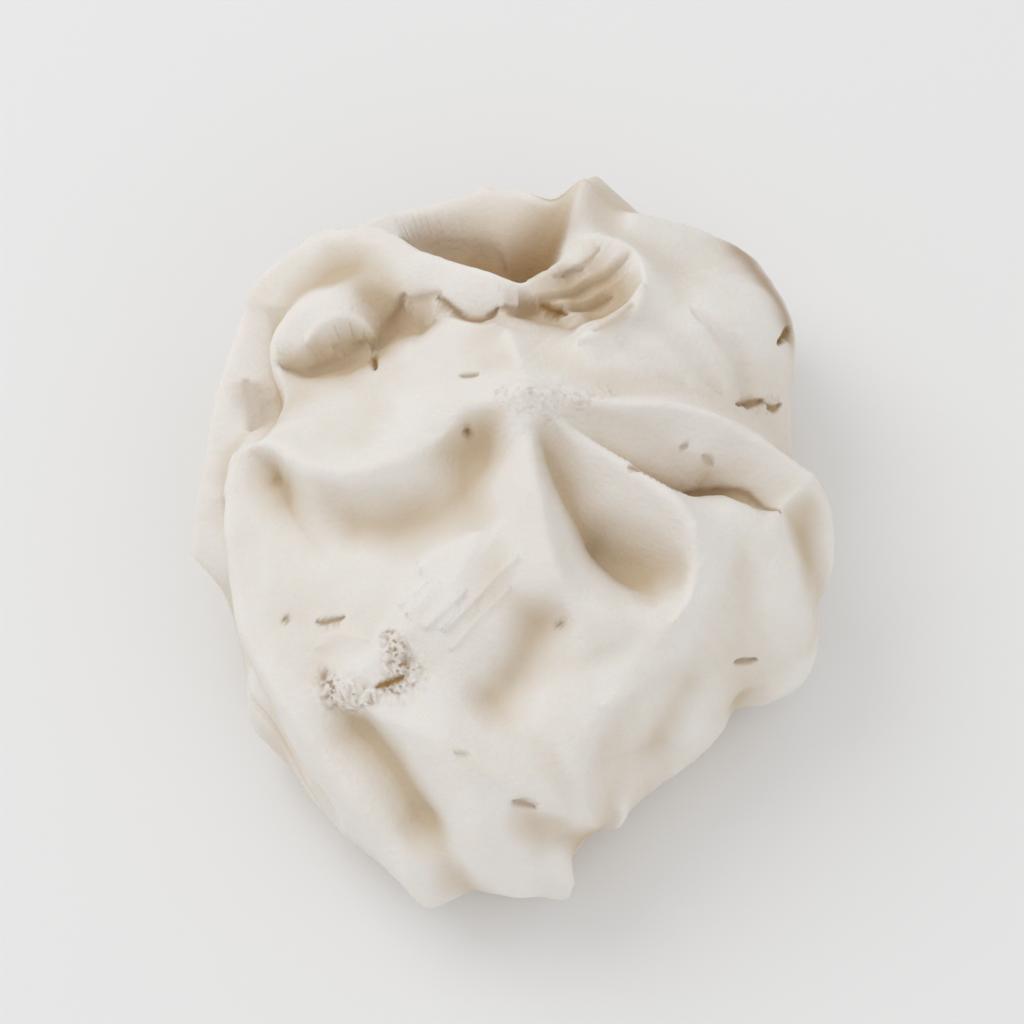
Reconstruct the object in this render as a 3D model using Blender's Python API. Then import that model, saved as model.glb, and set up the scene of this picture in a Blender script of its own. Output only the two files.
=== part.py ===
"""Piped meringue cookie: one baked solid, as it leaves the baking sheet.

A star nozzle drops a dome of whisked egg white onto baking paper. Its teeth leave
sharp crests that run from the pulled-off peak down to the hem, with scooped hollows
and folded creases between them. The dome bulges over a slightly smaller flat base.

The model is in metres, +Z up, and rests on z = 0 under the middle of its box.
The peak points up, and the longest lobe reaches towards -Y.
"""

import math
from collections import namedtuple

import bmesh
import bpy
import numpy as np

MM = 0.001

# The smooth dome, in millimetres. A place on it is a bearing, in degrees
# counter-clockwise from +X, and a reach: 0 at the peak and 1 at the edge of the base.
DOME_HEIGHT = 29.0
WAIST_HEIGHT = 10.5  # where the dome is widest
WAIST_REACH = 0.8
BASE_TUCK = 4.5  # how far the base edge lies inside the waist
BASE_UNDERCUT = math.radians(68)  # how far the side turns under, below the waist
# Bearing, and the distance from the peak's axis to the waist.
WAIST = (
    (0, 25), (-20, 28), (-34, 30.5), (-47, 29), (-60, 32), (-74, 31.5), (-82, 34.5), (-92, 39), (-116, 38.5),
    (-142, 32.5), (-176, 27.5), (-222, 30.5), (-248, 27), (-282, 27.5), (-310, 27.5),
    (-324, 31), (-334, 28.5), (-343, 25.5),
)
WAIST_BLEND = 8  # degrees of bearing over which the waist's corners are rounded

# A mark's route is (bearing, reach) pairs. Its left and right widths are for the sides
# that lie left and right of the route, seen from above, and end is the share of the
# size that is left at the route's end.
Mark = namedtuple("Mark", "route size left right rounding end")
# Crests pulled up by the nozzle's teeth.
CRESTS = {
    "right": Mark(
        ((-12, 0), (-3, 0.14), (-2, 0.26), (-6, 0.4), (-12, 0.55), (-18, 0.66), (-25, 0.74)),
        5.2, 3.4, 3.8, 0.4, 0.3,
    ),
    "hook": Mark(
        ((-45, 0), (-32, 0.1), (-33, 0.19), (-35, 0.28), (-41, 0.345), (-48, 0.385), (-57, 0.395)),
        5.6, 4.6, 2.0, 0.45, 0.7,
    ),
    "front": Mark(((-85, 0), (-86, 0.1), (-83, 0.22), (-77, 0.32)), 3.8, 2.4, 3.6, 0.7, 0.8),
    "lip": Mark(((-82, 0.25), (-75, 0.305), (-66, 0.345), (-57, 0.37)), 2.8, 2.6, 4.4, 1.4, 0.9),
    "fold": Mark(
        ((-96, 0.13), (-108, 0.18), (-115, 0.26), (-120, 0.37), (-126, 0.48)),
        1.7, 2.8, 2.2, 0.8, 1.0,
    ),
    "sill": Mark(
        ((-125, 0.5), (-114, 0.45), (-103, 0.45), (-93, 0.51), (-87, 0.59), (-82, 0.7), (-80, 0.78)),
        2.6, 3.6, 3.2, 0.7, 0.5,
    ),
    "hip": Mark(
        ((-56, 0.42), (-70, 0.44), (-78, 0.47), (-83, 0.54), (-82, 0.69)),
        2.4, 3.4, 3.0, 1.5, 0.6,
    ),
    "keel": Mark(((-104, 0.46), (-97, 0.58), (-92, 0.8), (-88, 1)), 2.8, 4.0, 4.0, 1.5, 1.0),
    "left": Mark(
        ((175, 0), (-175, 0.1), (-156, 0.19), (-159, 0.29), (-168, 0.38), (-176, 0.45), (-177, 0.52),
         (-168, 0.55), (-155, 0.55), (-143, 0.565), (-132, 0.555), (-122, 0.575), (-112, 0.635),
         (-105, 0.76), (-102, 0.9)),
        4.4, 2.4, 4.2, 0.7, 0.8,
    ),
    "band": Mark(
        ((-163, 0.72), (175, 0.62), (152, 0.59), (137, 0.52), (124, 0.41), (114, 0.305), (100, 0.235),
         (88, 0.24), (80, 0.3), (78, 0.5)),
        4.5, 1.8, 3.0, 0.4, 1.0,
    ),
    "horn": Mark(((78, 0.5), (76, 0.75), (72, 1)), 4.0, 2.2, 5.5, 0.4, 0.9),
    "back_rim": Mark(
        ((134, 0.5), (120, 0.54), (107, 0.555), (94, 0.53), (84, 0.47), (78, 0.52)),
        3.2, 3.4, 1.8, 0.4, 1.0,
    ),
    "mound": Mark(((143, 0.36), (151, 0.42), (159, 0.47), (168, 0.54)), 4.4, 3.0, 3.4, 1.8, 0.2),
    "spine": Mark(((90, 0), (102, 0.09), (104, 0.17)), 3.4, 2.6, 2.6, 0.4, 0.5),
    "shoulder": Mark(((25, 0), (30, 0.2), (28, 0.45), (22, 0.8)), 2.8, 5.5, 5.5, 2.5, 0.5),
    "flap": Mark(
        ((48, 0.14), (44, 0.21), (48, 0.29), (58, 0.345), (69, 0.36), (78, 0.36)),
        4.2, 1.5, 4.4, 0.3, 0.9,
    ),
    "back_right": Mark(((66, 0.5), (52, 0.64), (42, 0.8), (38, 1)), 3.0, 3.0, 4.0, 0.8, 0.8),
    "back": Mark(((98, 0.68), (100, 0.8), (104, 1)), 3.0, 3.0, 3.0, 0.4, 0.8),
    "back_left": Mark(((131, 0.6), (134, 0.78), (138, 1)), 3.0, 3.2, 3.2, 0.4, 0.8),
    "side_left": Mark(((175, 0.62), (-178, 0.8), (-172, 1)), 2.2, 3.2, 3.2, 0.6, 0.7),
    "side_front": Mark(((-145, 0.62), (-138, 0.8), (-132, 1)), 1.8, 3.2, 3.2, 0.8, 0.7),
    "side_right": Mark(((-12, 0.6), (-8, 0.8), (-4, 1)), 2.0, 3.4, 3.4, 0.8, 0.7),
    "lobe": Mark(
        ((-24, 0.38), (-24, 0.46), (-27, 0.53), (-31, 0.6), (-35, 0.74), (-36, 1)),
        3.1, 3.8, 3.4, 2.0, 1.0,
    ),
    "hem_corner": Mark(((-87, 0.78), (-88, 1)), 4.4, 1.2, 3.0, 0.3, 1.0),
    "hem_step": Mark(((-76, 0.76), (-77, 1)), 1.8, 3.4, 2.4, 0.4, 1.0),
}
# Creases where one fold lies against the next.
CREASES = {
    "right": Mark(
        ((-34, 0.03), (-27, 0.13), (-25, 0.22), (-22, 0.31), (-17, 0.38), (-17, 0.43), (-19, 0.48)),
        4.4, 2.2, 1.2, 0.15, 0,
    ),
    "scoop": Mark(
        ((-75, 0.03), (-66, 0.12), (-61, 0.22), (-58, 0.31), (-53, 0.38)),
        4.2, 3.4, 1.3, 0.4, 0,
    ),
    "mound": Mark(
        ((132, 0.32), (139, 0.3), (148, 0.295), (155, 0.33), (159, 0.37), (162, 0.42), (162, 0.46)),
        3.0, 2.6, 1.0, 0.4, 0,
    ),
    "arch": Mark(
        ((134, 0.28), (120, 0.235), (105, 0.205), (90, 0.2), (72, 0.19), (60, 0.175)),
        2.2, 1.0, 2.0, 0.3, 0,
    ),
    "step": Mark(((150, 0.56), (161, 0.54), (171, 0.52), (-177, 0.5)), 2.6, 1.8, 1.4, 0.3, 0),
    "tier": Mark(((-170, 0.6), (-150, 0.7), (-134, 0.7), (-116, 0.72)), 1.8, 1.6, 1.6, 0.4, 0),
    "hem_right": Mark(((5, 0.75), (-15, 0.85), (-30, 0.95)), 1.6, 2.0, 2.0, 0.5, 0),
    "hem_back": Mark(((120, 0.8), (95, 0.85), (60, 0.8), (30, 0.85)), 1.6, 2.0, 2.0, 0.5, 0),
}
# Scooped hollows: a route, a depth and a width.
HOLLOWS = {
    "cup": (((111, 0.43), (101, 0.365), (89, 0.355)), 9.0, 3.2),
    "nook": (((137, 0.32), (134, 0.29)), 3.0, 2.4),
    "scoop": (((-57, 0.24), (-51, 0.31), (-48, 0.35)), 2.8, 2.6),
    "dip": (((-86, 0.29), (-91, 0.335), (-97, 0.38)), 2.8, 3.0),
    "pocket": (((-157, 0.13), (-148, 0.09)), 3.2, 3.0),
    "pocket_left": (((-170, 0.48), (-167, 0.46)), 0.9, 2.4),
    "trough": (((-130, 0.14), (-142, 0.25), (-150, 0.32)), 1.8, 3.0),
    "chute": (((-119, 0.53), (-113, 0.57), (-107, 0.64)), 3.0, 3.2),
    "gore": (((-48, 0.76), (-48, 0.9)), 1.0, 2.0),
    "dart": (((-58, 0.56), (-66, 0.66)), 1.0, 2.6),
    "gather": (((88, 0.22), (74, 0.25), (60, 0.25)), 1.6, 1.8),
    "back_right": (((22, 0.72), (18, 0.9)), 1.2, 4.0),
    "back": (((118, 0.8), (119, 0.95)), 2.4, 4.0),
    "back_left": (((155, 0.75), (158, 0.95)), 2.0, 4.0),
}
CREST_BLEND = 5  # the higher, the less a crest lifts where another crosses it
HEM_FADE = 5.0  # the marks die out over this height above the base
ROUTE_STEPS = 24
PULL = 0.5  # the share of the way that the nearest vertices are drawn to a mark
PULL_WIDTH = 2.0  # how far from a mark they are drawn in
NARROWEST = 1.9  # no side of a mark is narrower than the quads can follow

FACES_ACROSS = 31  # quads along each edge of the cube that the dome starts as

MERINGUE_COLOUR = (0.80, 0.75, 0.68, 1.0)
MERINGUE_ROUGHNESS = 0.85


def waist_radius(bearing):
    """Distance from the peak's axis to the waist, with the table's corners rounded."""
    turns = [-WAIST_BLEND, -WAIST_BLEND / 2, 0, WAIST_BLEND / 2, WAIST_BLEND]
    angles, radii = zip(*WAIST)
    turned = [np.interp(np.degrees(bearing) + turn, angles, radii, period=360) for turn in turns]
    return sum(turned) / len(turns)


def dome(bearing, reach):
    """Points of the smooth dome. Above the waist it is part of an egg, below it tucks in."""
    down = np.clip(reach / WAIST_REACH, 0, 1) * math.pi / 2
    under = np.clip((reach - WAIST_REACH) / (1 - WAIST_REACH), 0, 1) * BASE_UNDERCUT
    tuck = BASE_TUCK * (1 - np.cos(under)) / (1 - math.cos(BASE_UNDERCUT))
    radius = waist_radius(bearing) * np.sin(down) - tuck
    height = WAIST_HEIGHT + (DOME_HEIGHT - WAIST_HEIGHT) * np.cos(down)
    height = height - WAIST_HEIGHT * np.sin(under) / math.sin(BASE_UNDERCUT)
    return np.stack([radius * np.cos(bearing), radius * np.sin(bearing), height], axis=-1)


def route_points(route):
    """Points on the dome along one smooth curve through a route's pairs."""
    bearing = np.radians([pair[0] for pair in route])
    reach = np.array([pair[1] for pair in route])
    flat = np.stack([reach * np.cos(bearing), reach * np.sin(bearing)], axis=1)
    flat = np.vstack([2 * flat[0] - flat[1], flat, 2 * flat[-1] - flat[-2]])
    step = np.linspace(0, 1, ROUTE_STEPS, endpoint=False)[:, None]
    spans = []
    for before, start, end, after in zip(flat, flat[1:], flat[2:], flat[3:]):
        bend = 2 * before - 5 * start + 4 * end - after
        twist = 3 * start - before - 3 * end + after
        spans.append(start + ((end - before) * step + bend * step**2 + twist * step**3) / 2)
    curve = np.vstack([*spans, flat[-2:-1]])
    return dome(np.arctan2(curve[:, 1], curve[:, 0]), np.hypot(curve[:, 0], curve[:, 1]))


def distance_to(points, route):
    """Each point's offset from a route, its share of the way along, and its side: 1 left, -1 right."""
    line = route_points(route)
    closest = np.argmin((line**2).sum(axis=1) - 2 * points @ line.T, axis=1)
    outward = points - (0, 0, WAIST_HEIGHT)
    outward /= np.linalg.norm(outward, axis=1)[:, None]
    gap = np.full(len(points), np.inf)
    offset = np.zeros_like(points)
    along = np.zeros(len(points))
    side = np.zeros(len(points))
    for index in (closest - 1, closest):
        index = np.clip(index, 0, len(line) - 2)
        start = line[index]
        span = line[index + 1] - start
        share = np.sum((points - start) * span, axis=1) / np.sum(span * span, axis=1)
        share = np.clip(share, 0, 1)
        away = points - start - share[:, None] * span
        length = np.linalg.norm(away, axis=1)
        facing = np.cross(span, away) / np.linalg.norm(span, axis=1)[:, None]
        closer = length < gap
        gap[closer] = length[closer]
        offset[closer] = away[closer]
        along[closer] = ((index + share) / (len(line) - 1))[closer]
        side[closer] = (np.sum(facing * outward, axis=1) / (length + 1e-9))[closer]
    return offset, gap, along, np.clip(side, -1, 1)


def drawn_in(points, marks):
    """Points pulled towards the nearest mark, so that the mesh is finest at the sharp edges."""
    nearest = np.full(len(points), np.inf)
    pull = np.zeros_like(points)
    for mark in marks:
        offset, gap, along, side = distance_to(points, mark.route)
        closer = gap < nearest
        nearest[closer] = gap[closer]
        pull[closer] = offset[closer]
    return points - pull * (PULL * np.exp(-((nearest / PULL_WIDTH) ** 2)))[:, None]


def section(points, mark):
    """A mark's size at each point: sharp at its route, falling in a scooped curve on both sides."""
    offset, gap, along, side = distance_to(points, mark.route)
    width = np.maximum(mark.right + (mark.left - mark.right) * (1 + side) / 2, NARROWEST)
    return along, mark.size * np.exp(-(np.hypot(gap, mark.rounding) - mark.rounding) / width)


def relief(points):
    """How far the nozzle's marks lift or press the dome at each point, in millimetres."""
    lift = np.zeros(len(points))
    for crest in CRESTS.values():
        along, height = section(points, crest)
        taper = 1 - (1 - crest.end) * np.clip(2 * along - 1, 0, 1) ** 2
        lift += (height * taper) ** CREST_BLEND
    lift = lift ** (1 / CREST_BLEND)
    for route, depth, width in HOLLOWS.values():
        lift -= depth * np.exp(-((distance_to(points, route)[1] / width) ** 2))
    for crease in CREASES.values():
        along, depth = section(points, crease)
        lift -= depth * np.sqrt(np.sin(math.pi * along))
    return lift * np.clip(points[:, 2] / HEM_FADE, 0, 1)


def open_cube(faces):
    """A cube of even quads with its underside open, and each vertex's bearing and reach."""
    mesh = bmesh.new()
    bmesh.ops.create_cube(mesh, size=2.0)
    bottom = min(mesh.faces, key=lambda face: face.calc_center_median().z)
    bmesh.ops.delete(mesh, geom=[bottom], context="FACES_ONLY")
    bmesh.ops.subdivide_edges(mesh, edges=mesh.edges[:], cuts=faces - 1, use_grid_fill=True)
    cube = np.array([vertex.co for vertex in mesh.verts])
    even = np.tan(cube * math.pi / 4)  # keeps the quads alike once they are on the ball
    bearing = np.arctan2(even[:, 1], even[:, 0])
    across = np.hypot(even[:, 0], even[:, 1])
    quarter = (bearing + math.pi / 4) % (math.pi / 2) - math.pi / 4
    lowest = math.pi - np.arctan(1 / np.cos(quarter))
    return mesh, bearing, np.arctan2(across, even[:, 2]) / lowest


def place(mesh, points):
    for vertex, point in zip(mesh.verts, points):
        vertex.co = point
    mesh.normal_update()


def split_quads(mesh, lift):
    """Cuts each quad between the opposite corners lifted most alike, so that cuts follow the crests."""
    mesh.verts.index_update()
    for face in mesh.faces[:]:
        first, second, third, fourth = face.verts
        heights = [lift[corner.index] for corner in face.verts]
        if abs(heights[0] - heights[2]) < abs(heights[1] - heights[3]):
            bmesh.utils.face_split(face, first, third)
        else:
            bmesh.utils.face_split(face, second, fourth)


def meringue_mesh():
    mesh, bearing, reach = open_cube(FACES_ACROSS)
    points = drawn_in(dome(bearing, reach), [*CRESTS.values(), *CREASES.values()])
    place(mesh, points)
    normals = np.array([vertex.normal for vertex in mesh.verts])
    lift = relief(points)
    points = points + normals * lift[:, None]
    on_base = reach > 1 - 1e-6
    points[:, 2] = np.where(on_base, 0, np.maximum(points[:, 2], 0))
    middle = (points.min(axis=0) + points.max(axis=0)) / 2
    middle[2] = 0
    place(mesh, (points - middle) * MM)
    split_quads(mesh, lift)
    hem = [edge for edge in mesh.edges if edge.is_boundary]
    bmesh.ops.edgeloop_fill(mesh, edges=hem)
    bmesh.ops.recalc_face_normals(mesh, faces=mesh.faces)
    data = bpy.data.meshes.new("meringue")
    mesh.to_mesh(data)
    mesh.free()
    data.shade_smooth()
    return data


def meringue_material():
    """Matt, dry, off-white sugar foam."""
    material = bpy.data.materials.new("baked_meringue")
    material.use_nodes = True
    shader = material.node_tree.nodes["Principled BSDF"]
    shader.inputs["Base Color"].default_value = MERINGUE_COLOUR
    shader.inputs["Roughness"].default_value = MERINGUE_ROUGHNESS
    shader.inputs["Metallic"].default_value = 0.0
    return material


def build():
    for leftover in list(bpy.data.objects):
        bpy.data.objects.remove(leftover)
    collection = bpy.data.collections.new("meringue_cookie")
    bpy.context.scene.collection.children.link(collection)
    meringue = bpy.data.objects.new("meringue", meringue_mesh())
    meringue.data.materials.append(meringue_material())
    collection.objects.link(meringue)


build()
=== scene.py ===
import math
from collections import namedtuple

import bmesh
import bpy
import numpy as np
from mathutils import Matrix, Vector, noise


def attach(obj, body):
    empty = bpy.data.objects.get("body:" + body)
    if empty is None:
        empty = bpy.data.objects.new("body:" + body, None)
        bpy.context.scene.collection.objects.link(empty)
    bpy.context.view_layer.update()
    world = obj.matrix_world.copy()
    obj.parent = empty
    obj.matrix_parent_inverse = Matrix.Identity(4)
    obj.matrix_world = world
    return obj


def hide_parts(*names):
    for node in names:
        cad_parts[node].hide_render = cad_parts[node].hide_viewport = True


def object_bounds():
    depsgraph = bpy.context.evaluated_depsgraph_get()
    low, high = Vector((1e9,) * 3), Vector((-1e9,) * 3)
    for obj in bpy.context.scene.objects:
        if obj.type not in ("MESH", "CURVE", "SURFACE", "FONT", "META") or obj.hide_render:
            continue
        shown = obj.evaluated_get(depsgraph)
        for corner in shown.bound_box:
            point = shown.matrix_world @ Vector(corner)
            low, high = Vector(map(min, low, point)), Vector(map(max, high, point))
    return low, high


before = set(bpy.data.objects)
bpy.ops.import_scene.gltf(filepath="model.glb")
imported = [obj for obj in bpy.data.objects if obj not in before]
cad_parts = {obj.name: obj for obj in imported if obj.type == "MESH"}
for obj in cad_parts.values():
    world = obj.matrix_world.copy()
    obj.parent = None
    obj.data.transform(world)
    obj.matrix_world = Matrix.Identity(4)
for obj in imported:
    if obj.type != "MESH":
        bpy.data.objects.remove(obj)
cad_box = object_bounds()

# ---------------------------------------------------------------------------
# The baked foam: the whole meringue, one piece of whisked egg white and sugar.
# A star nozzle pipes it as a dome onto paper, its teeth pull up sharp crests, and
# a slow oven dries it matt and brittle. It stands for the CAD node of the same shape.
# ---------------------------------------------------------------------------

MM = 0.001

# A place on the smooth dome is a bearing, in degrees counter-clockwise from +X,
# and a reach: 0 at the peak and 1 at the edge of the base. Lengths are millimetres.
DOME_HEIGHT = 29.0
WAIST_HEIGHT = 10.5  # where the dome is widest
WAIST_REACH = 0.8
BASE_TUCK = 4.5  # how far the base edge lies inside the waist
BASE_UNDERCUT = math.radians(68)
WAIST = (
    (0, 25), (-20, 28), (-34, 30.5), (-47, 29), (-60, 32), (-74, 31.5), (-82, 34.5), (-92, 39),
    (-116, 38.5), (-142, 32.5), (-176, 27.5), (-222, 30.5), (-248, 27), (-282, 27.5), (-310, 27.5),
    (-324, 31), (-334, 28.5), (-343, 25.5),
)
WAIST_BLEND = 8  # degrees of bearing over which the waist's corners are rounded

# A mark's route is (bearing, reach) pairs. Its left and right widths are for the sides
# that lie left and right of the route, seen from above, and end is the share of the
# size that is left at the route's end.
Mark = namedtuple("Mark", "route size left right rounding end")
# Crests pulled up by the nozzle's teeth.
CRESTS = {
    "right": Mark(
        ((-12, 0), (-3, 0.14), (-2, 0.26), (-6, 0.4), (-12, 0.55), (-18, 0.66), (-25, 0.74)),
        5.2, 3.4, 3.8, 0.4, 0.3,
    ),
    "hook": Mark(
        ((-45, 0), (-32, 0.1), (-33, 0.19), (-35, 0.28), (-41, 0.345), (-48, 0.385), (-57, 0.395)),
        5.6, 4.6, 2.0, 0.45, 0.7,
    ),
    "front": Mark(((-85, 0), (-86, 0.1), (-83, 0.22), (-77, 0.32)), 3.8, 2.4, 3.6, 0.7, 0.8),
    "lip": Mark(((-82, 0.25), (-75, 0.305), (-66, 0.345), (-57, 0.37)), 2.8, 2.6, 4.4, 1.4, 0.9),
    "fold": Mark(
        ((-96, 0.13), (-108, 0.18), (-115, 0.26), (-120, 0.37), (-126, 0.48)),
        1.7, 2.8, 2.2, 0.8, 1.0,
    ),
    "sill": Mark(
        ((-125, 0.5), (-114, 0.45), (-103, 0.45), (-93, 0.51), (-87, 0.59), (-82, 0.7), (-80, 0.78)),
        2.6, 3.6, 3.2, 0.7, 0.5,
    ),
    "hip": Mark(
        ((-56, 0.42), (-70, 0.44), (-78, 0.47), (-83, 0.54), (-82, 0.69)),
        2.4, 3.4, 3.0, 1.5, 0.6,
    ),
    "keel": Mark(((-104, 0.46), (-97, 0.58), (-92, 0.8), (-88, 1)), 2.8, 4.0, 4.0, 1.5, 1.0),
    "left": Mark(
        ((175, 0), (-175, 0.1), (-156, 0.19), (-159, 0.29), (-168, 0.38), (-176, 0.45), (-177, 0.52),
         (-168, 0.55), (-155, 0.55), (-143, 0.565), (-132, 0.555), (-122, 0.575), (-112, 0.635),
         (-105, 0.76), (-102, 0.9)),
        4.4, 2.4, 4.2, 0.7, 0.8,
    ),
    "band": Mark(
        ((-163, 0.72), (175, 0.62), (152, 0.59), (137, 0.52), (124, 0.41), (114, 0.305), (100, 0.235),
         (88, 0.24), (80, 0.3), (78, 0.5)),
        4.5, 1.8, 3.0, 0.4, 1.0,
    ),
    "horn": Mark(((78, 0.5), (76, 0.75), (72, 1)), 4.0, 2.2, 5.5, 0.4, 0.9),
    "back_rim": Mark(
        ((134, 0.5), (120, 0.54), (107, 0.555), (94, 0.53), (84, 0.47), (78, 0.52)),
        3.2, 3.4, 1.8, 0.4, 1.0,
    ),
    "mound": Mark(((143, 0.36), (151, 0.42), (159, 0.47), (168, 0.54)), 4.4, 3.0, 3.4, 1.8, 0.2),
    "spine": Mark(((90, 0), (102, 0.09), (104, 0.17)), 3.4, 2.6, 2.6, 0.4, 0.5),
    "shoulder": Mark(((25, 0), (30, 0.2), (28, 0.45), (22, 0.8)), 2.8, 5.5, 5.5, 2.5, 0.5),
    "flap": Mark(
        ((48, 0.14), (44, 0.21), (48, 0.29), (58, 0.345), (69, 0.36), (78, 0.36)),
        4.2, 1.5, 4.4, 0.3, 0.9,
    ),
    "back_right": Mark(((66, 0.5), (52, 0.64), (42, 0.8), (38, 1)), 3.0, 3.0, 4.0, 0.8, 0.8),
    "back": Mark(((98, 0.68), (100, 0.8), (104, 1)), 3.0, 3.0, 3.0, 0.4, 0.8),
    "back_left": Mark(((131, 0.6), (134, 0.78), (138, 1)), 3.0, 3.2, 3.2, 0.4, 0.8),
    "side_left": Mark(((175, 0.62), (-178, 0.8), (-172, 1)), 2.2, 3.2, 3.2, 0.6, 0.7),
    "side_front": Mark(((-145, 0.62), (-138, 0.8), (-132, 1)), 1.8, 3.2, 3.2, 0.8, 0.7),
    "side_right": Mark(((-12, 0.6), (-8, 0.8), (-4, 1)), 2.0, 3.4, 3.4, 0.8, 0.7),
    "lobe": Mark(
        ((-24, 0.38), (-24, 0.46), (-27, 0.53), (-31, 0.6), (-35, 0.74), (-36, 1)),
        3.1, 3.8, 3.4, 2.0, 1.0,
    ),
    "hem_corner": Mark(((-87, 0.78), (-88, 1)), 4.4, 1.2, 3.0, 0.3, 1.0),
    "hem_step": Mark(((-76, 0.76), (-77, 1)), 1.8, 3.4, 2.4, 0.4, 1.0),
}
# Creases where one fold lies against the next. They die out at both ends.
CREASES = {
    "right": Mark(
        ((-34, 0.03), (-27, 0.13), (-25, 0.22), (-22, 0.31), (-17, 0.38), (-17, 0.43), (-19, 0.48)),
        4.4, 2.2, 1.2, 0.15, 0,
    ),
    "scoop": Mark(
        ((-75, 0.03), (-66, 0.12), (-61, 0.22), (-58, 0.31), (-53, 0.38)),
        4.2, 3.4, 1.3, 0.4, 0,
    ),
    "mound": Mark(
        ((132, 0.32), (139, 0.3), (148, 0.295), (155, 0.33), (159, 0.37), (162, 0.42), (162, 0.46)),
        3.0, 2.6, 1.0, 0.4, 0,
    ),
    "arch": Mark(
        ((134, 0.28), (120, 0.235), (105, 0.205), (90, 0.2), (72, 0.19), (60, 0.175)),
        2.2, 1.0, 2.0, 0.3, 0,
    ),
    "step": Mark(((150, 0.56), (161, 0.54), (171, 0.52), (-177, 0.5)), 2.6, 1.8, 1.4, 0.3, 0),
    "tier": Mark(((-170, 0.6), (-150, 0.7), (-134, 0.7), (-116, 0.72)), 1.8, 1.6, 1.6, 0.4, 0),
    "hem_right": Mark(((5, 0.75), (-15, 0.85), (-30, 0.95)), 1.6, 2.0, 2.0, 0.5, 0),
    "hem_back": Mark(((120, 0.8), (95, 0.85), (60, 0.8), (30, 0.85)), 1.6, 2.0, 2.0, 0.5, 0),
}
# Scooped hollows: a route, a depth and a width.
HOLLOWS = {
    "cup": (((111, 0.43), (101, 0.365), (89, 0.355)), 9.0, 3.2),
    "nook": (((137, 0.32), (134, 0.29)), 3.0, 2.4),
    "scoop": (((-57, 0.24), (-51, 0.31), (-48, 0.35)), 2.8, 2.6),
    "dip": (((-86, 0.29), (-91, 0.335), (-97, 0.38)), 2.8, 3.0),
    "pocket": (((-157, 0.13), (-148, 0.09)), 3.2, 3.0),
    "pocket_left": (((-170, 0.48), (-167, 0.46)), 0.9, 2.4),
    "trough": (((-130, 0.14), (-142, 0.25), (-150, 0.32)), 1.8, 3.0),
    "chute": (((-119, 0.53), (-113, 0.57), (-107, 0.64)), 3.0, 3.2),
    "gore": (((-48, 0.76), (-48, 0.9)), 1.0, 2.0),
    "dart": (((-58, 0.56), (-66, 0.66)), 1.0, 2.6),
    "gather": (((88, 0.22), (74, 0.25), (60, 0.25)), 1.6, 1.8),
    "back_right": (((22, 0.72), (18, 0.9)), 1.2, 4.0),
    "back": (((118, 0.8), (119, 0.95)), 2.4, 4.0),
    "back_left": (((155, 0.75), (158, 0.95)), 2.0, 4.0),
}
CREST_BLEND = 5  # the higher, the less a crest lifts where another crosses it
HEM_FADE = 5.0  # the marks die out over this height above the base
ROUTE_STEPS = 24
PULL = 0.6  # the share by which vertices close in on a mark, for a finer mesh there
PULL_WIDTH = 1.4

# Small marks on the folds: wrinkles stand up, cracks cut in. A size is a height or a
# depth, and a stain is how brown the caramelised sugar has turned in the crack.
Wrinkle = namedtuple("Wrinkle", "route height width")
Crack = namedtuple("Crack", "route depth width stain")
WRINKLES = {
    "flap_lip": Wrinkle(((49, 0.13), (44, 0.17), (43, 0.22), (47, 0.28)), 0.6, 0.5),
    "gather_1": Wrinkle(((88, 0.225), (76, 0.25), (68, 0.3), (62, 0.35)), 0.22, 0.4),
    "gather_2": Wrinkle(((83, 0.21), (71, 0.24), (62, 0.29), (57, 0.32)), 0.2, 0.35),
    "gather_3": Wrinkle(((72, 0.2), (62, 0.235), (54, 0.28)), 0.22, 0.35),
    "gather_4": Wrinkle(((61, 0.17), (54, 0.205), (47, 0.24)), 0.18, 0.35),
    "gather_5": Wrinkle(((90, 0.26), (80, 0.265), (72, 0.31), (67, 0.35)), 0.18, 0.35),
    "arch_lip": Wrinkle(((128, 0.26), (123, 0.21), (116, 0.185), (107, 0.18)), 0.35, 0.5),
    "curl": Wrinkle(
        ((157, 0.41), (154, 0.395), (151, 0.375), (148, 0.35), (147, 0.325), (149, 0.3)), 0.75, 0.45
    ),
    "slab": Wrinkle(((-124, 0.25), (-119, 0.21), (-111, 0.17)), 0.6, 1.5),
    "slab_1": Wrinkle(((-120, 0.31), (-118, 0.28), (-117, 0.25)), 0.45, 0.32),
    "slab_2": Wrinkle(((-115, 0.31), (-112, 0.27), (-109, 0.24)), 0.45, 0.32),
    "slab_3": Wrinkle(((-123, 0.31), (-121, 0.28), (-119, 0.255)), 0.35, 0.32),
    "slab_4": Wrinkle(((-111, 0.3), (-106, 0.25), (-98, 0.2), (-94, 0.19)), 0.5, 0.36),
    "slab_5": Wrinkle(((-108, 0.32), (-103, 0.265), (-96, 0.225)), 0.3, 0.35),
    "shard": Wrinkle(((-133, 0.47), (-131, 0.42), (-125, 0.38)), 0.45, 0.9),
    "hip": Wrinkle(((-77, 0.46), (-68, 0.46), (-59, 0.44)), 0.3, 0.8),
    "hook_rim": Wrinkle(CRESTS["hook"].route, 0.3, 0.5),
    "right_rim": Wrinkle(CRESTS["right"].route, 0.3, 0.5),
}
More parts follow.
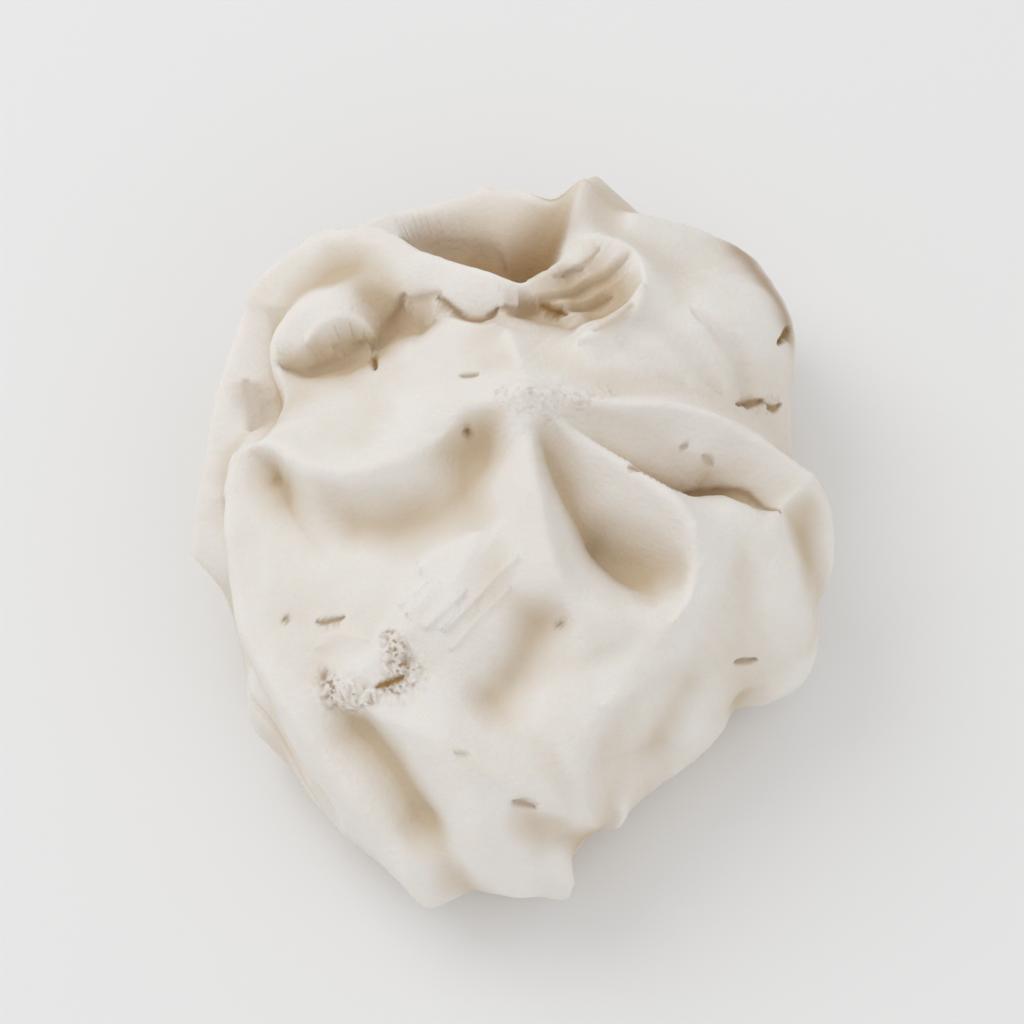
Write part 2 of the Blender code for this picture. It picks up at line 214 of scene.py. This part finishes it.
CRACKS = {
    "gather_a": Crack(((80, 0.26), (73, 0.3), (69, 0.345)), 0.25, 0.32, 0.35),
    "gather_b": Crack(((85, 0.22), (74, 0.245), (65, 0.295), (60, 0.34)), 0.22, 0.32, 0.35),
    "gather_c": Crack(((77, 0.205), (67, 0.235), (58, 0.285)), 0.3, 0.32, 0.4),
    "gather_d": Crack(((66, 0.185), (58, 0.22), (50, 0.26)), 0.2, 0.32, 0.3),
    "gather_pit": Crack(((83, 0.215), (76, 0.21), (71, 0.21)), 0.6, 0.4, 1.0),
    "gather_nick": Crack(((77, 0.27), (74, 0.29), (71, 0.305)), 0.4, 0.32, 0.5),
    # The under_flap groove is real; its brown also paints the shadow under the flap's lip.
    "under_flap": Crack(((48, 0.15), (45, 0.19), (45, 0.23)), 0.4, 0.5, 0.45),
    "arch": Crack(((125, 0.28), (122, 0.245), (117, 0.214), (110, 0.207), (104, 0.21)), 0.4, 0.28, 0.8),
    "arch_left": Crack(((131, 0.32), (127, 0.3), (123, 0.275)), 0.2, 0.3, 0.35),
    "arch_right": Crack(((102, 0.208), (97, 0.203), (89, 0.204), (82, 0.212)), 0.3, 0.28, 0.6),
    "arch_end": Crack(((94, 0.208), (86, 0.214)), 0.3, 0.4, 0.6),
    "curl": Crack(((163, 0.47), (163, 0.43), (160, 0.39), (156, 0.35), (150, 0.315)), 0.5, 0.4, 0.3),
    "curl_inside": Crack(((156, 0.37), (154, 0.345), (152, 0.325)), 0.4, 0.6, 0.12),
    "curl_end": Crack(((151, 0.31), (145, 0.3), (138, 0.315), (131, 0.33)), 0.5, 0.5, 0.45),
    "curl_nick": Crack(((153, 0.31), (158, 0.285)), 0.4, 0.26, 1.0),
    "step": Crack(((165, 0.57), (171, 0.55), (176, 0.55)), 0.2, 0.7, 0.35),
    "crown": Crack(((152, 0.12), (144, 0.09)), 0.25, 0.25, 0.6),
    "slit_right": Crack(((9, 0.43), (10, 0.47), (12, 0.52)), 0.5, 0.4, 0.8),
    "slit_right_end": Crack(((11, 0.53), (11, 0.57), (13, 0.61)), 0.4, 0.35, 0.8),
    "slit_lobe": Crack(((-47, 0.6), (-43, 0.64)), 0.6, 0.3, 0.45),
    "slit_low": Crack(((-93, 0.545), (-90, 0.57)), 0.4, 0.3, 0.5),
    "slit_left": Crack(((-137, 0.455), (-135, 0.432), (-133, 0.4)), 0.3, 0.26, 0.7),
    "slit_sill": Crack(((-102, 0.46), (-100, 0.455)), 0.2, 0.26, 0.3),
    "fold_a": Crack(((35, 0.33), (27, 0.37), (21, 0.42), (15, 0.455), (9, 0.47)), 0.5, 1.0, 0.1),
    "fold_b": Crack(((42, 0.2), (34, 0.25), (21, 0.32), (12, 0.39)), 0.4, 1.0, 0.06),
    "fold_c": Crack(((35, 0.17), (23, 0.23), (14, 0.3)), 0.3, 0.9, 0.03),
    "edge": Crack(((25, 0.53), (28, 0.6), (29, 0.65)), 0.8, 0.4, 1.0),
    "groove_a": Crack(((-33, 0.18), (-30, 0.21), (-27, 0.27), (-25, 0.31)), 0.4, 0.3, 0.7),
    "groove_b": Crack(
        ((-24, 0.3), (-20, 0.335), (-18, 0.365), (-16, 0.4), (-16, 0.44), (-19, 0.49)), 0.25, 0.3, 0.6
    ),
    "tier": Crack(((-145, 0.79), (-136, 0.76), (-128, 0.76), (-121, 0.78)), 0.5, 0.4, 0.1),
    "cup": Crack(((120, 0.5), (113, 0.51), (107, 0.5), (101, 0.46), (97, 0.42)), 0.6, 0.7, 0.45),
    "burn": Crack(((-119, 0.425), (-117, 0.405), (-115, 0.385)), 0.4, 0.32, 1.0),
    "leaf_a": Crack(((-12, 0.272), (-12, 0.285)), 0.2, 0.26, 0.4),
    "leaf_b": Crack(((-12, 0.32), (-13, 0.35)), 0.2, 0.26, 0.4),
}
# Soft brown where the sugar has caramelised: a route, a width and an amount.
STAINS = {
    # The cup's brown is partly caramel and partly painted shade deep inside the cup below the band.
    "cup": (((106, 0.46), (99, 0.42), (90, 0.41), (84, 0.4)), 1.9, 0.85),
    "edge": (((45, 0.68), (37, 0.65), (29, 0.6)), 2.2, 0.7),
    "mound": (((141, 0.305), (137, 0.315)), 1.2, 0.25),
}
# Painted shade: soft dark patches where the folds lie in shade, and with a negative amount ('leaf') a
# painted highlight; the 'curl' and 'crust' patches are partly the foam's own yellowish crust. A route, a
# width and an amount.
PAINTED_SHADES = {
    "gather": (((82, 0.24), (70, 0.27), (56, 0.27)), 2.7, 0.9),
    "mound_end": (((139, 0.41), (140, 0.345), (145, 0.28)), 2.3, 0.85),
    "curl": (((156, 0.38), (152, 0.345)), 1.7, 0.55),
    "crust": (((162, 0.45), (160, 0.4), (156, 0.345), (151, 0.31)), 1.0, 1.0),
    "cup": (((113, 0.48), (102, 0.46), (88, 0.43)), 3.2, 0.8),
    "horn": (((78, 0.5), (76, 0.62)), 3.4, 0.6),
    "mid": (((-112, 0.16), (-102, 0.22), (-95, 0.26)), 3.6, 0.25),
    "leaf": (((-24, 0.16), (-18, 0.24)), 2.4, -0.25),
    "rim_right": (((-16, 0.55), (-24, 0.57), (-30, 0.6), (-34, 0.68)), 2.2, 0.45),
    "low": (((-91, 0.61), (-86, 0.62), (-83, 0.69)), 2.4, 0.3),
}
# Pinholes where a bubble burst: a place, a depth, a width and a stain.
PINHOLES = (
    ((-161, 0.1), 0.7, 0.3, 0.9),
    ((-82, 0.305), 0.4, 0.3, 0.4),
    ((-141, 0.5), 0.4, 0.24, 0.8),
    ((-170, 0.48), 0.3, 0.5, 0.3),
    ((-116, 0.365), 0.5, 0.4, 0.9),
    ((-128, 0.48), 0.4, 0.4, 0.7),
)
# Rough places: a route, a width and an amount. The foam tore and dried in crumbs there.
BROKEN = {
    "patch_right": (((-122, 0.35), (-117, 0.365), (-115, 0.39), (-118, 0.42)), 1.5, 1.0),
    "patch_left": (((-129, 0.48), (-124, 0.48), (-121, 0.455), (-118, 0.43)), 1.4, 0.9),
    "peak": (((164, 0.05), (-20, 0.03), (10, 0.15)), 1.3, 0.28),
    "slit": (((9, 0.44), (11, 0.52), (13, 0.6)), 0.9, 0.5),
    "edge": (((26, 0.56), (29, 0.64)), 0.9, 0.5),
}
CRUMB_HEIGHT = 0.9  # heights and sizes in millimetres, as everywhere here
CRUMB_SIZE = 0.85
CRUMB_GAP = 0.22  # the sugar has browned where the crumb noise is lower than this
CRUMB_STAIN = 0.55
STAIN_SPREAD = 1.6  # a stain is a little wider than its crack
SWELL_HEIGHT = 0.14  # the soft unevenness of the whole surface
SWELL_SIZE = 5.0
GRAIN_HEIGHT = 0.055
GRAIN_SIZE = 1.1
STREAK_HEIGHT = 0.12  # the drag lines that run from the peak down to the base
STREAK_TURN = 5.0  # degrees of bearing
STREAK_LENGTH = 0.5  # of the reach
STREAK_START = 0.25  # the reach where the lines are at full height
BASE_HOLLOW = 0.5  # how far the wrinkled underside lifts off the baking sheet
BASE_RIM = 0.2  # the outer share of the underside, which comes down to the sheet
BASE_WRINKLE = 2.5  # how large the underside's wrinkles are
SKIN = 0.02  # how much smaller the foam is than the solid
WANDER = 0.12  # how far a ragged mark strays from its route
WANDER_SIZE = 0.9
FINEST = 0.3  # marks wider than this are smooth, and finer ones are ragged
SLIMMEST = 0.25  # the share of its width that a small mark has at its ends

# The quads along each edge of the cube that the foam starts as.
FACES_ACROSS = 128
TOP_SLOPE = 0.95  # the upward share of a normal where the foam stays white
SIDE_SLOPE = 0.25  # and where it is fully toasted and shaded
SIDE_TOAST_AND_SHADE = 0.35  # shares of the tint from white foam to toasted foam: partly the toast of the steep sides, partly painted shade on slopes that face away from the light
# Painted shade darkens the hollows and a painted highlight pales the crests, by how deep a point lies
# below the surface around it.
HOLLOW_PAINTED_SHADE = 1.0
HOLLOW_DEPTH = 1.2  # the depth of a hollow that is tinted by that share
PALEST = -0.5  # crests are this many such depths paler at most
DEEPEST = 2  # and hollows this many darker
HEM_TOAST = 0.55  # the edge that dried against the hot sheet
HEM_STAIN = 0.45
HEM_TOAST_HEIGHT = 2.0
# The rounds of averaging that a hollow's depth is measured against.
HOLLOW_ROUNDS = 80


def waist_radius(bearing):
    """Distance from the peak's axis to the waist, with the table's corners rounded."""
    turns = [-WAIST_BLEND, -WAIST_BLEND / 2, 0, WAIST_BLEND / 2, WAIST_BLEND]
    angles, radii = zip(*WAIST)
    turned = [np.interp(np.degrees(bearing) + turn, angles, radii, period=360) for turn in turns]
    return sum(turned) / len(turns)


def dome(bearing, reach):
    """Points of the smooth dome. Above the waist it is part of an egg, below it tucks in."""
    down = np.clip(reach / WAIST_REACH, 0, 1) * math.pi / 2
    under = np.clip((reach - WAIST_REACH) / (1 - WAIST_REACH), 0, 1) * BASE_UNDERCUT
    tuck = BASE_TUCK * (1 - np.cos(under)) / (1 - math.cos(BASE_UNDERCUT))
    radius = waist_radius(bearing) * np.sin(down) - tuck
    height = WAIST_HEIGHT + (DOME_HEIGHT - WAIST_HEIGHT) * np.cos(down)
    height = height - WAIST_HEIGHT * np.sin(under) / math.sin(BASE_UNDERCUT)
    return np.stack([radius * np.cos(bearing), radius * np.sin(bearing), height], axis=-1)


def route_points(route):
    """Points on the dome along one smooth curve through a route's pairs."""
    bearing = np.radians([pair[0] for pair in route])
    reach = np.array([pair[1] for pair in route])
    flat = np.stack([reach * np.cos(bearing), reach * np.sin(bearing)], axis=1)
    flat = np.vstack([2 * flat[0] - flat[1], flat, 2 * flat[-1] - flat[-2]])
    step = np.linspace(0, 1, ROUTE_STEPS, endpoint=False)[:, None]
    spans = []
    for before, start, end, after in zip(flat, flat[1:], flat[2:], flat[3:]):
        bend = 2 * before - 5 * start + 4 * end - after
        twist = 3 * start - before - 3 * end + after
        spans.append(start + ((end - before) * step + bend * step**2 + twist * step**3) / 2)
    curve = np.vstack([*spans, flat[-2:-1]])
    return dome(np.arctan2(curve[:, 1], curve[:, 0]), np.hypot(curve[:, 0], curve[:, 1]))


def distance_to(points, route):
    """Each point's offset from a route, its share of the way along, and its side: 1 left, -1 right."""
    line = route_points(route)
    closest = np.argmin((line**2).sum(axis=1) - 2 * points @ line.T, axis=1)
    outward = points - (0, 0, WAIST_HEIGHT)
    outward /= np.linalg.norm(outward, axis=1)[:, None]
    gap = np.full(len(points), np.inf)
    offset = np.zeros_like(points)
    along = np.zeros(len(points))
    side = np.zeros(len(points))
    for index in (closest - 1, closest):
        index = np.clip(index, 0, len(line) - 2)
        start = line[index]
        span = line[index + 1] - start
        share = np.sum((points - start) * span, axis=1) / np.sum(span * span, axis=1)
        share = np.clip(share, 0, 1)
        away = points - start - share[:, None] * span
        length = np.linalg.norm(away, axis=1)
        facing = np.cross(span, away) / np.linalg.norm(span, axis=1)[:, None]
        closer = length < gap
        gap[closer] = length[closer]
        offset[closer] = away[closer]
        along[closer] = ((index + share) / (len(line) - 1))[closer]
        side[closer] = (np.sum(facing * outward, axis=1) / (length + 1e-9))[closer]
    return offset, gap, along, np.clip(side, -1, 1)


def drawn_in(points, marks):
    """Points pulled towards the nearest mark, so that the mesh is finest at the sharp edges."""
    nearest = np.full(len(points), np.inf)
    pull = np.zeros_like(points)
    for mark in marks:
        offset, gap, along, side = distance_to(points, mark.route)
        closer = gap < nearest
        nearest[closer] = gap[closer]
        pull[closer] = offset[closer]
    return points - pull * (PULL * np.exp(-((nearest / PULL_WIDTH) ** 2)))[:, None]


def section(points, mark):
    """A mark's size at each point: sharp at its route, falling in a scooped curve on both sides."""
    offset, gap, along, side = distance_to(points, mark.route)
    width = mark.right + (mark.left - mark.right) * (1 + side) / 2
    return along, mark.size * np.exp(-(np.hypot(gap, mark.rounding) - mark.rounding) / width)


def relief(points):
    """How far the nozzle's marks lift or press the dome at each point, in millimetres."""
    lift = np.zeros(len(points))
    for crest in CRESTS.values():
        along, height = section(points, crest)
        taper = 1 - (1 - crest.end) * np.clip(2 * along - 1, 0, 1) ** 2
        lift += (height * taper) ** CREST_BLEND
    lift = lift ** (1 / CREST_BLEND)
    for route, depth, width in HOLLOWS.values():
        lift -= depth * np.exp(-((distance_to(points, route)[1] / width) ** 2))
    for crease in CREASES.values():
        along, depth = section(points, crease)
        lift -= depth * np.sqrt(np.sin(math.pi * along))
    return lift * np.clip(points[:, 2] / HEM_FADE, 0, 1)


def bell(points, route, width):
    """1 on a route, nothing beyond about two widths of it, and thinner towards its ends."""
    offset, gap, along, side = distance_to(points, route)
    slim = width * (SLIMMEST + (1 - SLIMMEST) * np.sqrt(np.sin(math.pi * along)))
    return np.exp(-((gap / slim) ** 2))


def fine_relief(points, ragged):
    """How far the small marks lift or press the surface, and how stained and how broken it is."""
    lift = np.zeros(len(points))
    stain = np.zeros(len(points))
    for wrinkle in WRINKLES.values():
        measured = points if wrinkle.width > FINEST else ragged
        lift += wrinkle.height * bell(measured, wrinkle.route, wrinkle.width)
    for crack in CRACKS.values():
        measured = points if crack.width > FINEST else ragged
        share = bell(measured, crack.route, crack.width)
        lift -= crack.depth * share
        stain = np.maximum(stain, np.minimum(STAIN_SPREAD * crack.stain * share, crack.stain))
    for route, width, amount in STAINS.values():
        stain = np.maximum(stain, amount * np.exp(-((distance_to(points, route)[1] / width) ** 2)))
    for (bearing, reach), depth, width, burnt in PINHOLES:
        gap = np.linalg.norm(points - dome(math.radians(bearing), reach), axis=1)
        share = np.exp(-((gap / width) ** 2))
        lift -= depth * share
        stain = np.maximum(stain, np.minimum(STAIN_SPREAD * burnt * share, burnt))
    broken = np.zeros(len(points))
    for route, width, amount in BROKEN.values():
        broken = np.maximum(broken, amount * bell(ragged, route, width))
    return lift, stain, broken


def hollowness(mesh, points, normals, rounds):
    """How deep each point lies below the average of the surface around it, in millimetres."""
    ends = np.array([[vertex.index for vertex in edge.verts] for edge in mesh.edges])
    links = np.bincount(ends.ravel(), minlength=len(points))[:, None]
    average = points
    for _ in range(rounds):
        total = np.zeros_like(points)
        for axis in range(3):
            total[:, axis] += np.bincount(ends[:, 0], average[ends[:, 1], axis], len(points))
            total[:, axis] += np.bincount(ends[:, 1], average[ends[:, 0], axis], len(points))
        average = total / links
    return np.sum((average - points) * normals, axis=1)


def roughness_at(points, size):
    """Smooth noise between about -1 and 1, with lumps of the given size."""
    return np.array([noise.noise(Vector(point / size)) for point in points])


def wandering(points, reach, size):
    """Points moved a little at random, so that lines measured from them wander."""
    moves = [roughness_at(points + shift, size) for shift in (0, 31, 67)]  # three unlike noises
    return points + reach * np.stack(moves, axis=1)


def cube_of_quads(faces):
    """A cube of even quads, and each vertex's bearing and reach. Past 1, reach runs in under the base."""
    mesh = bmesh.new()
    bmesh.ops.create_cube(mesh, size=2.0)
    bmesh.ops.subdivide_edges(mesh, edges=mesh.edges[:], cuts=faces - 1, use_grid_fill=True)
    cube = np.array([vertex.co for vertex in mesh.verts])
    even = np.tan(cube * math.pi / 4)  # keeps the quads alike once they are on the ball
    bearing = np.arctan2(even[:, 1], even[:, 0])
    across = np.hypot(even[:, 0], even[:, 1])
    quarter = (bearing + math.pi / 4) % (math.pi / 2) - math.pi / 4
    lowest = math.pi - np.arctan(1 / np.cos(quarter))
    return mesh, bearing, np.arctan2(across, even[:, 2]) / lowest, math.pi / lowest


def place(mesh, points):
    for vertex, point in zip(mesh.verts, points):
        vertex.co = point
    mesh.normal_update()


mesh, bearing, reach, farthest = cube_of_quads(FACES_ACROSS)
marks = [*CRESTS.values(), *CREASES.values(), *WRINKLES.values(), *CRACKS.values()]
smooth = drawn_in(dome(bearing, reach), marks)
place(mesh, smooth)
normals = np.array([vertex.normal for vertex in mesh.verts])
lift = relief(smooth)
points = smooth + normals * lift[:, None]
under = np.clip((reach - 1) / (farthest - 1), 0, 1)
points[:, :2] *= (1 - under)[:, None]
points[:, 2] = np.where(reach > 1 - 1e-6, 0, np.maximum(points[:, 2], 0))
place(mesh, points)
normals = np.array([vertex.normal for vertex in mesh.verts])
slope = normals[:, 2]
mesh.verts.index_update()
cavity = hollowness(mesh, points, normals, HOLLOW_ROUNDS)
fine, stain, broken = fine_relief(smooth, wandering(smooth, WANDER, WANDER_SIZE))
fine += SWELL_HEIGHT * roughness_at(points, SWELL_SIZE) + GRAIN_HEIGHT * roughness_at(points, GRAIN_SIZE)
streak = math.radians(STREAK_TURN)
turned = np.stack([np.cos(bearing), np.sin(bearing), reach / STREAK_LENGTH * streak], axis=1)
fine += STREAK_HEIGHT * roughness_at(turned, streak) * np.clip(reach / STREAK_START, 0, 1)
crumbs = np.abs(roughness_at(points, CRUMB_SIZE))
fine += CRUMB_HEIGHT * broken * crumbs
stain = np.maximum(stain, CRUMB_STAIN * broken * np.clip(1 - crumbs / CRUMB_GAP, 0, 1))
fine *= np.clip(points[:, 2] / HEM_FADE, 0, 1)
points = points + normals * fine[:, None]
inside = np.clip(under / BASE_RIM, 0, 1)
points[:, 2] += BASE_HOLLOW * inside * (1 + roughness_at(points, BASE_WRINKLE)) / 2
low_edge = np.exp(-points[:, 2] / HEM_TOAST_HEIGHT)
stain = np.maximum(stain, HEM_STAIN * low_edge)
solid_low, solid_high = (np.array(corner) / MM for corner in cad_box)
middle = (points.min(axis=0) + points.max(axis=0)) / 2
middle[2] = 0
spare = (solid_high - solid_low - SKIN) / np.ptp(points, axis=0)
points = (points - middle) * np.minimum(1, spare)  # keeps within the solid's own box
points[:, :2] += (solid_low + solid_high)[:2] / 2
place(mesh, points * MM)
data = bpy.data.meshes.new("foam")
mesh.to_mesh(data)
mesh.free()
data.shade_smooth()
# The toast_and_shade share: toast on the steep sides with painted shade on slopes, painted shade in
# hollows and a painted highlight on crests, the toasted hem, and the painted shade patches.
toast_and_shade = SIDE_TOAST_AND_SHADE * np.clip((TOP_SLOPE - slope) / (TOP_SLOPE - SIDE_SLOPE), 0, 1)
toast_and_shade += HOLLOW_PAINTED_SHADE * np.clip(cavity / HOLLOW_DEPTH, PALEST, DEEPEST)
toast_and_shade += HEM_TOAST * low_edge
for route, width, amount in PAINTED_SHADES.values():
    toast_and_shade += amount * np.exp(-((distance_to(smooth, route)[1] / width) ** 2))
for name, values in (("toast_and_shade", toast_and_shade), ("stain", stain), ("broken", broken)):
    attribute = data.attributes.new(name, "FLOAT", "POINT")
    attribute.data.foreach_set("value", np.clip(values, 0, 1).astype(np.float32))
foam = bpy.data.objects.new("foam", data)
bpy.context.scene.collection.objects.link(foam)


class Wire:
    """An output socket in a material's node tree. Sums on it add Math nodes."""

    def __init__(self, tree, socket=None):
        self.tree = tree
        self.socket = socket

    def node(self, kind, settings=None, sockets=None, output=0):
        """Adds any node: its settings first, then the values or links of its sockets."""
        node = self.tree.nodes.new(kind)
        for name, setting in (settings or {}).items():
            setattr(node, name, setting)
        for name, value in (sockets or {}).items():
            if isinstance(value, Wire):
                self.tree.links.new(value.socket, node.inputs[name])
            else:
                node.inputs[name].default_value = value
        return Wire(self.tree, node.outputs[output])

    def math(self, operation, *values):
        sockets = dict(enumerate(values))
        return self.node("ShaderNodeMath", {"operation": operation}, sockets)

    def __add__(self, other):
        return self.math("ADD", self, other)

    __radd__ = __add__

    def __mul__(self, other):
        return self.math("MULTIPLY", self, other)

    __rmul__ = __mul__

    def __sub__(self, other):
        return self.math("SUBTRACT", self, other)

    def __rsub__(self, other):
        return self.math("SUBTRACT", other, self)

    def mixed(self, low, high):
        """A colour that goes from low to high as this value goes from 0 to 1."""
        sockets = {0: self, 6: low, 7: high}
        return self.node("ShaderNodeMix", {"data_type": "RGBA"}, sockets, output=2)


FOAM_WHITE = (0.905, 0.87, 0.825, 1)
FOAM_SHADE = (0.66, 0.54, 0.39, 1)
CARAMEL = (0.38, 0.225, 0.09, 1)
LEAST_TINT = 0.05  # the dried foam is nowhere pure white
CLOUD = 0.4  # how much the tint varies from place to place
SPECK_FROM = 0.53  # the crumbs are browned where their noise is higher than this
SPECK_TO = 0.65
SPECK_STAIN = 0.9
CRUMB_BUMP = 4.0  # how much rougher the crumbs are than the powdery skin

finish = bpy.data.materials.new("baked_foam")
finish.use_nodes = True
tree = finish.node_tree
shader = tree.nodes["Principled BSDF"]
start = Wire(tree)
tint = start.node("ShaderNodeAttribute", {"attribute_name": "toast_and_shade"}, output=2)
stain = start.node("ShaderNodeAttribute", {"attribute_name": "stain"}, output=2)
broken = start.node("ShaderNodeAttribute", {"attribute_name": "broken"}, output=2)
place_on = start.node("ShaderNodeTexCoord", output=3)
cloud = start.node("ShaderNodeTexNoise", {}, {"Vector": place_on, "Scale": 160.0, "Detail": 3.0})
mottle = start.node("ShaderNodeTexNoise", {}, {"Vector": place_on, "Scale": 1500.0, "Detail": 2.0})
powder = start.node("ShaderNodeTexNoise", {}, {"Vector": place_on, "Scale": 1800.0, "Detail": 4.0})
speck = start.node("ShaderNodeMapRange", {}, {0: mottle, 1: SPECK_FROM, 2: SPECK_TO})
# From white to tan by the toast_and_shade share, so the colour carries painted shade and painted
# highlights besides the toast and the random cloudy tone.
foam_colour = (tint + LEAST_TINT + (cloud - 0.5) * CLOUD).mixed(FOAM_WHITE, FOAM_SHADE)
brown = start.math("MAXIMUM", stain, broken * speck * SPECK_STAIN)
colour = brown.mixed(foam_colour, CARAMEL)
tree.links.new(colour.socket, shader.inputs["Base Color"])
height = powder + broken * mottle * CRUMB_BUMP
bump = start.node("ShaderNodeBump", {}, {"Height": height, "Strength": 0.55, "Distance": 0.00025})
tree.links.new(bump.socket, shader.inputs["Normal"])
shader.inputs["Roughness"].default_value = 0.85
shader.inputs["Subsurface Weight"].default_value = 0.3
shader.inputs["Subsurface Radius"].default_value = (1.0, 0.6, 0.35)
shader.inputs["Subsurface Scale"].default_value = 0.0008
shader.inputs["Specular IOR Level"].default_value = 0.2
data.materials.append(finish)
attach(foam, "root")
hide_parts("meringue")

# ---------------------------------------------------------------------------
# The floor and the soft light from behind and above, and the camera, which
# looks steeply down on the piped top.
# ---------------------------------------------------------------------------

bpy.ops.mesh.primitive_plane_add(size=3)
floor = bpy.context.object
floor.name = "floor"
paper = bpy.data.materials.new("pale_floor")
paper.use_nodes = True
matt = paper.node_tree.nodes["Principled BSDF"]
matt.inputs["Base Color"].default_value = (0.92, 0.92, 0.92, 1)
matt.inputs["Roughness"].default_value = 0.9
floor.data.materials.append(paper)

low, high = (Vector(corner) for corner in cad_box)
centre = (low + high) / 2


def aimed(name, data, azimuth, elevation, distance):
    """Puts a camera or light on a bearing from the meringue, pointing at it."""
    away = Vector(
        (
            math.sin(azimuth) * math.cos(elevation),
            -math.cos(azimuth) * math.cos(elevation),
            math.sin(elevation),
        )
    )
    thing = bpy.data.objects.new(name, data)
    bpy.context.scene.collection.objects.link(thing)
    thing.location = centre + away * distance
    thing.rotation_euler = away.to_track_quat("Z", "Y").to_euler()
    return thing


def soft_light(name, azimuth, elevation, distance, size, power):
    lamp = bpy.data.lights.new(name, "AREA")
    lamp.shape = "DISK"
    lamp.size = size
    lamp.energy = power
    return aimed(name, lamp, math.radians(azimuth), math.radians(elevation), distance)


soft_light("window", azimuth=235, elevation=50, distance=0.7, size=0.5, power=1.1)
soft_light("fill", azimuth=40, elevation=40, distance=0.9, size=0.8, power=0.5)
world = bpy.data.worlds.new("room")
bpy.context.scene.world = world
world.use_nodes = True
world.node_tree.nodes["Background"].inputs["Color"].default_value = (1, 1, 1, 1)
world.node_tree.nodes["Background"].inputs["Strength"].default_value = 0.68

CAMERA_ELEVATION = math.radians(70)
CAMERA_DISTANCE = 0.4
lens = bpy.data.cameras.new("camera")
lens.lens = 150
lens.sensor_width = 36
lens.clip_start = 0.01
bpy.context.scene.camera = aimed("camera", lens, 0.0, CAMERA_ELEVATION, CAMERA_DISTANCE)
bpy.context.scene.view_settings.view_transform = "Standard"
